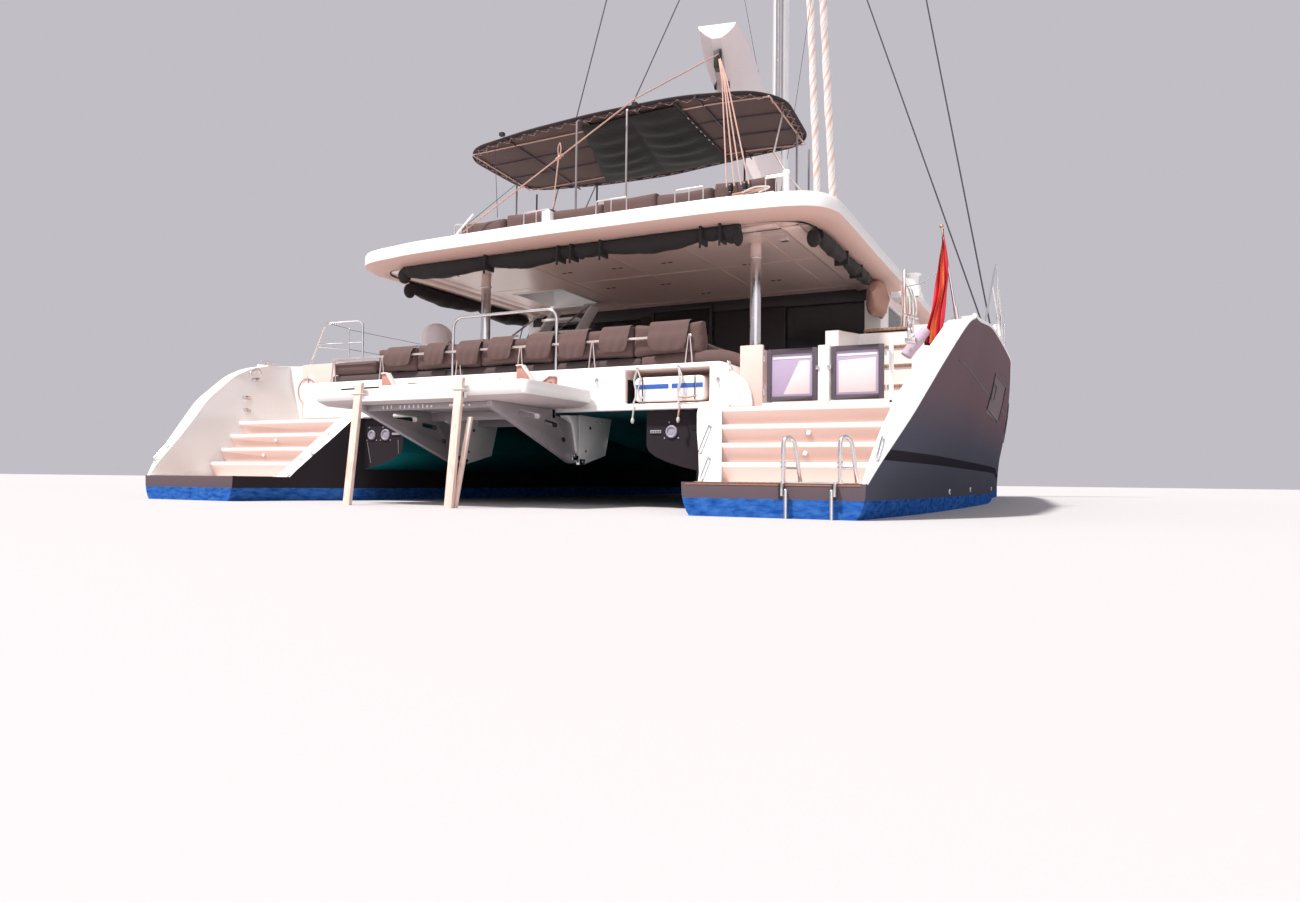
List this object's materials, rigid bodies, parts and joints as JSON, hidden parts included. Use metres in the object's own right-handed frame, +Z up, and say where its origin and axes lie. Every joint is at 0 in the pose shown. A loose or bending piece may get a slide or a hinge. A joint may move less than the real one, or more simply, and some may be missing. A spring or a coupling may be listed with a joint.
{
  "type": "sailing catamaran",
  "caption": "Twin-hulled cruising yacht at anchor, with transom steps, cockpit under a hardtop, flybridge with bimini, mast, swung boom, furled headsails and tender platform.",
  "frame": {"origin": "centreline, at the waterline, at half the hull length", "axes": "+X starboard, +Y towards the bow, +Z up"},
  "size_m": [10.4, 18.985, 31.15],
  "materials": {
    "gelcoat": "white gelcoat, smooth and glossy",
    "topside": "taupe-grey metallic topside paint, glossy",
    "antifouling": "blue antifouling paint, matte",
    "steel": "polished stainless tube",
    "bronze": "cast bronze, dull",
    "alloy": "white painted and anodised spar",
    "grey_alloy": "grey painted aluminium",
    "canvas": "dark brown woven canvas",
    "cushion": "brown outdoor cushion cloth",
    "glass": "dark tinted glass",
    "teak": "oiled teak",
    "net": "knotted white net",
    "sailcloth": "white sailcloth with a pale band",
    "flag": "red and yellow bunting",
    "stern_board": "pale painted boards"
  },
  "bodies": {
    "root": {"hull_starboard": "topside", "hull_port": "topside", "keel_starboard": "antifouling", "keel_port": "antifouling", "shaft_starboard": "bronze", "shaft_port": "bronze", "bridgedeck": "gelcoat", "aft_beam": "gelcoat", "life_raft": "gelcoat", "saloon_shell": "gelcoat", "saloon_glazing": "glass", "hardtop": "gelcoat", "flybridge_stairs": "gelcoat", "hardtop_post_port": "steel", "hardtop_post_starboard": "steel", "cockpit_sofa_base": "gelcoat", "cockpit_seat_cushions": "cushion", "cockpit_back_cushions": "cushion", "cockpit_table": "teak", "starboard_lounge": "cushion", "gate_surround": "gelcoat", "ladder_handles": "steel", "tender_arm_brackets": "grey_alloy", "cockpit_hoop_rail": "steel", "cockpit_low_rail": "steel", "side_rails_starboard": "steel", "side_rails_port": "steel", "flybridge_seats": "gelcoat", "flybridge_cushions": "cushion", "helm_console": "gelcoat", "bimini_frame": "steel", "bimini_canopy": "canvas", "rolled_curtains": "canvas", "mast": "alloy", "genoa_furled": "sailcloth", "staysail_furled": "sailcloth", "shrouds_starboard": "steel", "shrouds_port": "steel", "forward_crossbeam": "alloy", "trampoline_starboard": "net", "trampoline_port": "net", "ensign_staff": "steel", "ensign": "flag", "grill_cabinet": "gelcoat", "grill_cover": "sailcloth"},
    "rudder_starboard": {"rudder_starboard": "antifouling"},
    "rudder_port": {"rudder_port": "antifouling"},
    "propeller_starboard": {"propeller_starboard": "bronze"},
    "propeller_port": {"propeller_port": "bronze"},
    "boom": {"boom": "gelcoat", "stowed_mainsail": "sailcloth"},
    "gate_inner": {"gate_inner": "grey_alloy"},
    "gate_outer": {"gate_outer": "grey_alloy"},
    "swim_ladder": {"swim_ladder": "steel"},
    "tender_lift": {"tender_platform": "gelcoat", "tender_platform_arms": "grey_alloy", "tender_chocks": "gelcoat", "stern_boards": "stern_board"},
    "helm_wheel": {"helm_wheel": "steel"},
    "saloon_door": {"saloon_door": "glass"}
  },
  "joints": [
    {"name": "rudder_starboard_steer", "type": "hinge", "parent": "root", "child": "rudder_starboard", "pos_m": [3.76, -8.2, -0.9], "axis": [0, 0, 1], "range_deg": [-35, 35]},
    {"name": "rudder_port_steer", "type": "hinge", "parent": "root", "child": "rudder_port", "pos_m": [-3.76, -8.2, -0.9], "axis": [0, 0, 1], "range_deg": [-35, 35]},
    {"name": "helm_wheel_turn", "type": "hinge", "parent": "root", "child": "helm_wheel", "pos_m": [1.1, -1.26, 4.33], "axis": [0, 1, 0], "range_deg": [-425, 425]},
    {"name": "propeller_starboard_spin", "type": "hinge", "parent": "root", "child": "propeller_starboard", "pos_m": [3.76, -7.15, -0.82], "axis": [0, 1, 0], "continuous": true},
    {"name": "propeller_port_spin", "type": "hinge", "parent": "root", "child": "propeller_port", "pos_m": [-3.76, -7.15, -0.82], "axis": [0, 1, 0], "continuous": true},
    {"name": "boom_swing", "type": "hinge", "parent": "root", "child": "boom", "pos_m": [0, 1.63, 6.6], "axis": [0, 0, 1], "range_deg": [-59.5, 36.5]},
    {"name": "gate_inner_swing", "type": "hinge", "parent": "root", "child": "gate_inner", "pos_m": [3.175, -7.83, 1.42], "axis": [0, 0, 1], "range_deg": [0, 95]},
    {"name": "gate_outer_swing", "type": "hinge", "parent": "root", "child": "gate_outer", "pos_m": [4.415, -7.83, 1.42], "axis": [0, 0, -1], "range_deg": [0, 95]},
    {"name": "swim_ladder_fold", "type": "hinge", "parent": "root", "child": "swim_ladder", "pos_m": [4.135, -9.5, 0.225], "axis": [-1, 0, 0], "range_deg": [0, 160]},
    {"name": "tender_platform_lift", "type": "slide", "parent": "root", "child": "tender_lift", "axis": [0, 0, 1], "range_m": [-1.1, 0]},
    {"name": "saloon_door_slide", "type": "slide", "parent": "root", "child": "saloon_door", "axis": [1, 0, 0], "range_m": [0, 1.1]}
  ],
  "couplings": [
    {"joint": "rudder_port_steer", "follows": "rudder_starboard_steer", "ratio": 1},
    {"joint": "helm_wheel_turn", "follows": "rudder_starboard_steer", "ratio": 12}
  ]
}
